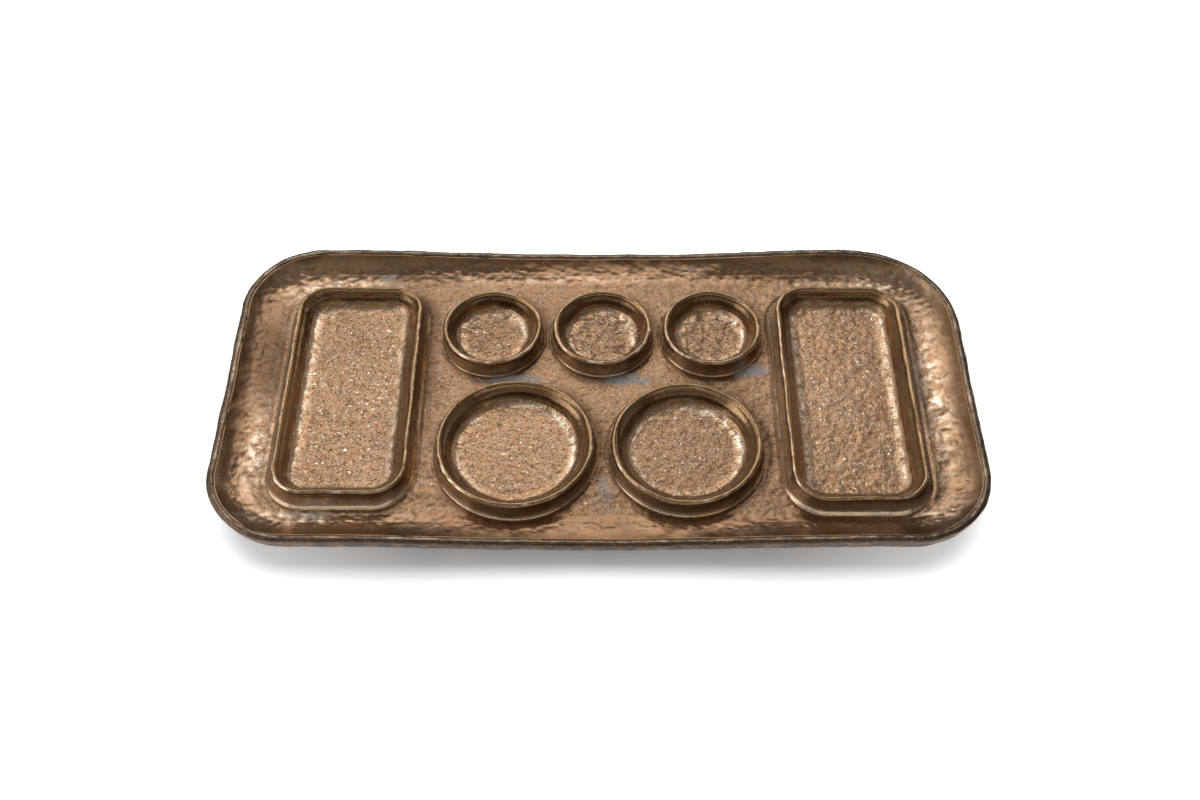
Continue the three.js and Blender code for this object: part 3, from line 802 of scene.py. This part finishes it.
def wellWall(well, seed):
    facts = wells[well]
    full = facts["full"]
    path, outward = outline(facts["centre"], facts["half"], facts["radii"], wall["spacing"])[:2]
    offset, height = wallSection(facts)
    flatPath = flattened(path)
    lean = wall["lean"] * lumps(flatPath, wall["leanSize"], seed)[:, None]
    tall = 1 + wall["rise"] / full * lumps(flatPath, wall["riseSize"], seed + 1)[:, None]
    thick = wall["thick"] * lumps(flatPath, wall["thickSize"], seed + 2)[:, None]
    upper = ease(height, 0.2 * full, 0.9 * full)
    offsets = offset + lean * upper + thick * upper * np.where(offset < -1.9, 1, -0.4)
    grid = swept(path, outward, offsets, floorLevel + height * np.where(height > 0, tall, 1))
    nick = ease(lumps(flatPath, wall["nickSize"], seed + 3), 0.5, 0.8)[:, None]
    nick = nick * bell(offset + 1.4, 0.9) * (height > 0.8 * full)
    ripple = wall["ripple"] * lumps(grid, wall["rippleSize"], seed + 4)
    ripple = ripple + wall["grit"] * lumps(grid, wall["gritSize"], seed + 5) - wall["nick"] * nick
    grid += facing(grid) * ripple[..., None]
    marks = wallMarks(facts, grid, outward, offset, height, nick, seed)
    addRing(well + "_wall", grid, wallGlaze, marks)


def cornerCoil(well, seed):
    facts = wells[well]
    rim, tall, wide = wall["rim"], coil["height"], coil["width"]
    half, radii = facts["half"] - rim, facts["radii"] - rim
    path, outward, places = outline(facts["centre"], half, radii, wall["spacing"])
    foot = innerLine(facts, 0) + rim
    tip = innerLine(facts, tall) + rim
    toe = foot - wide
    face = smoothRun([(tip + 0.25, tall + 0.5), (tip - 0.1, tall * 0.85),
                      (tip + (foot - tip) * 0.55 - 0.35, tall * 0.5), (foot - 1.0, tall * 0.22),
                      (foot - wide * 0.6, 0.34), (toe, 0.08), (toe - 1.6, -0.08), (toe - 3.2, -0.4)],
                     coil["sides"])
    hidden = [(toe - 2.0, -0.8), (foot + 0.9, -0.8), (tip + 1.0, tall - 0.6)]
    offset, height = np.concatenate([face, hidden]).T
    flatPath = flattened(path)
    reach = coil["reach"] * lumps(flatPath, coil["reachSize"], seed) + 0.2 * lumps(flatPath, 5.0, seed + 1)
    low = ease(-height, -2.2, 0.0)
    grid = swept(path, outward, offset - reach[:, None] * low, floorLevel + height)
    grid[..., 2] += glazeLift(grid) * low
    shown = np.zeros(len(height))
    shown[:coil["sides"]] = bell(np.linspace(-1, 1, coil["sides"]), 0.7)
    beat = np.sin(2 * np.pi * places / coil["pinchSize"] + 3.0 * lumps(flatPath, 12.0, seed + 2))
    pinched = coil["pinch"] * (0.6 + 0.6 * lumps(flatPath, 20.0, seed + 3)) * beat
    ripple = pinched[:, None] + coil["lump"] * lumps(grid, coil["lumpSize"], seed + 4)
    ripple = ripple + coil["grit"] * lumps(grid, coil["gritSize"], seed + 5)
    grid += facing(grid) * (ripple * shown)[..., None]

    # painted highlight crescents on the fillet, on its right and its left
    across = bell(offset - foot + 0.35 * wide, 0.45 * wide) * ease(-height, -1.8, -1.2)
    right = turned(outward, (0.87, 0.5), 0.1, 0.9)
    left = facts["leftShine"] * turned(outward, (-1, 0), 0.3, 0.9)
    foam = ease(lumps(grid, 6.5, seed + 6) + 0.5 * lumps(grid, 3.2, seed + 8), -0.6, 0.2)
    marks = {"calm": np.full(grid.shape[:2], coil["calm"]), "bloom": bloomAt(grid),
             "wornAndHighlight": across * facts["shine"] * np.maximum(right, left) * foam}
    addRing(well + "_fillet", grid, filletGlaze, marks)


for number, well in enumerate(wells):
    wellWall(well, 100 + 20 * number)
    cornerCoil(well, 110 + 20 * number)
print("walls and corner coils made:", len(wells), "wells")


# foot ring under the slab

ring = {"width": 9.0, "radius": 22.0, "bevel": 1.0, "nip": 0.3, "spacing": 2.0,
        "ripple": 0.2, "rippleSize": 12.0}


def footRing():
    low, high = boxOf("foot_ring")
    path, outward = outline(middle, high[:2], np.full(4, ring["radius"]), ring["spacing"])[:2]
    tall, broad, bevel, nip = high[2] - low[2], ring["width"], ring["bevel"], ring["nip"]
    corners = [(-broad + bevel, 0), (-bevel, 0), (-nip, nip), (0, bevel),
               (0, tall), (-broad, tall), (-broad, bevel), (-broad + nip, nip)]
    runs = [straightRun(a, b, 4) for a, b in zip(corners, corners[1:] + corners[:1])]
    offset, height = np.concatenate(runs).T
    grid = swept(path, outward, np.broadcast_to(offset, (len(path), len(offset))), low[2] + height)
    ripple = ring["ripple"] * lumps(grid, ring["rippleSize"], 31) * ease(height, 0.2, 1.2)
    grid += facing(grid) * ripple[..., None]
    grid[..., 2] = np.clip(grid[..., 2], low[2], high[2])
    addRing("foot_ring", grid, bareClay, {})


footRing()
print("foot ring made")


# studio: white floor, soft light and the camera

studio = {
    "floorSize": 8.0, "floorShade": 0.94, "floorGloss": 0.1, "floorRough": 0.9, "ambient": 0.2,
    "floorGlow": 0.4, "shadowGlow": 0.3,                          # the floor's own glow, and a painted shadow that keeps this share of it along the tray's long sides
    "glowAside": (90.0, 230.0), "glowAhead": (140.0, 300.0),   # mm from the middle where it comes up
}
lights = {   # place and size in metres, radiance; one isn't mirrored in the glaze, some spare matt surfaces
    "backSoftbox": {"at": (-0.64, 1.25, 1.12), "size": (2.2, 1.1), "radiance": 0.7},
    "coreWide": {"at": (-0.05, 1.11, 1.32), "size": (1.36, 1.08), "radiance": 0.85},
    "coreMiddle": {"at": (-0.05, 1.086, 1.295), "size": (1.0, 0.78), "radiance": 0.9},
    "coreInner": {"at": (-0.05, 1.06, 1.27), "size": (0.7, 0.52), "radiance": 0.8},
    "overhead": {"at": (0.0, -0.1, 1.6), "size": (1.8, 0.5), "radiance": 0.5},
    "leftCard": {"at": (-1.5, -0.35, 0.75), "size": (1.4, 0.8), "radiance": 1.6, "onMatt": False},
    "leftTop": {"at": (-1.15, 0.1, 1.25), "size": (1.0, 0.7), "radiance": 2.2, "onMatt": False},
    "frontCard": {"at": (0.0, -1.34, 0.87), "size": (3.0, 0.62), "radiance": 0.8},
    "rightCard": {"at": (1.25, 1.25, 0.7), "size": (1.0, 0.6), "radiance": 0.8, "onMatt": False},
    "floorLight": {"at": (0.0, 1.7, 2.2), "size": (5.0, 3.4), "radiance": 3.0, "mirrored": False},
}
view = {"at": (0.0007, -0.54545, 0.68952), "towards": (0.0007, -0.00657, 0.012),
        "lens": 42.29, "sensor": 36.0}


def whiteFloor():
    size = studio["floorSize"] / 2
    corners = [(-size, -size, 0), (size, -size, 0), (size, size, 0), (-size, size, 0)]
    mesh = bpy.data.meshes.new("studio_floor")
    mesh.from_pydata(corners, [], [(0, 1, 2, 3)])
    finish, shader, inMm = newFinish("studio_floor")
    # the floor glows, and glows less near the tray as a painted shadow
    x, y = (inMm.node("SeparateXYZ", {}, {0: inMm}, axis) for axis in (0, 1))
    aside = abs(x).between(*studio["glowAside"])
    ahead = abs(y).between(*studio["glowAhead"])
    away = inMm.maths("MAXIMUM", aside, ahead)
    away.blend(grey(studio["shadowGlow"]), grey(1)).into(shader, "Emission Color")
    shader.inputs["Base Color"].default_value = grey(studio["floorShade"])
    shader.inputs["Roughness"].default_value = studio["floorRough"]
    shader.inputs["Specular IOR Level"].default_value = studio["floorGloss"]
    shader.inputs["Emission Strength"].default_value = studio["floorGlow"]
    mesh.materials.append(finish)
    ground = bpy.data.objects.new("studio_floor", mesh)
    bpy.context.scene.collection.objects.link(ground)


def aimed(at, towards):
    return (Vector(towards) - Vector(at)).to_track_quat("-Z", "Y").to_euler()


def softLight(name, look):
    width, depth = look["size"]
    lamp = bpy.data.lights.new(name, "AREA")
    lamp.shape = "RECTANGLE"
    lamp.size, lamp.size_y = width, depth
    lamp.energy = look["radiance"] * math.pi * width * depth
    holder = bpy.data.objects.new(name, lamp)
    holder.location = look["at"]
    holder.rotation_euler = aimed(look["at"], (0, 0, 0))
    holder.visible_glossy = look.get("mirrored", True)
    holder.visible_diffuse = look.get("onMatt", True)
    bpy.context.scene.collection.objects.link(holder)


def studioWorld():
    world = bpy.data.worlds.new("studio")
    world.use_nodes = True
    back = world.node_tree.nodes["Background"]
    back.inputs["Color"].default_value = grey(1)
    back.inputs["Strength"].default_value = studio["ambient"]
    bpy.context.scene.world = world


def photoCamera():
    data = bpy.data.cameras.new("photo_camera")
    data.lens, data.sensor_width = view["lens"], view["sensor"]
    data.clip_start, data.clip_end = 0.01, 50
    camera = bpy.data.objects.new("photo_camera", data)
    camera.location = view["at"]
    camera.rotation_euler = aimed(view["at"], view["towards"])
    bpy.context.scene.collection.objects.link(camera)
    bpy.context.scene.camera = camera


whiteFloor()
for name, look in lights.items():
    softLight(name, look)
studioWorld()
photoCamera()
bpy.context.scene.view_settings.view_transform = "Standard"
print("studio ready")
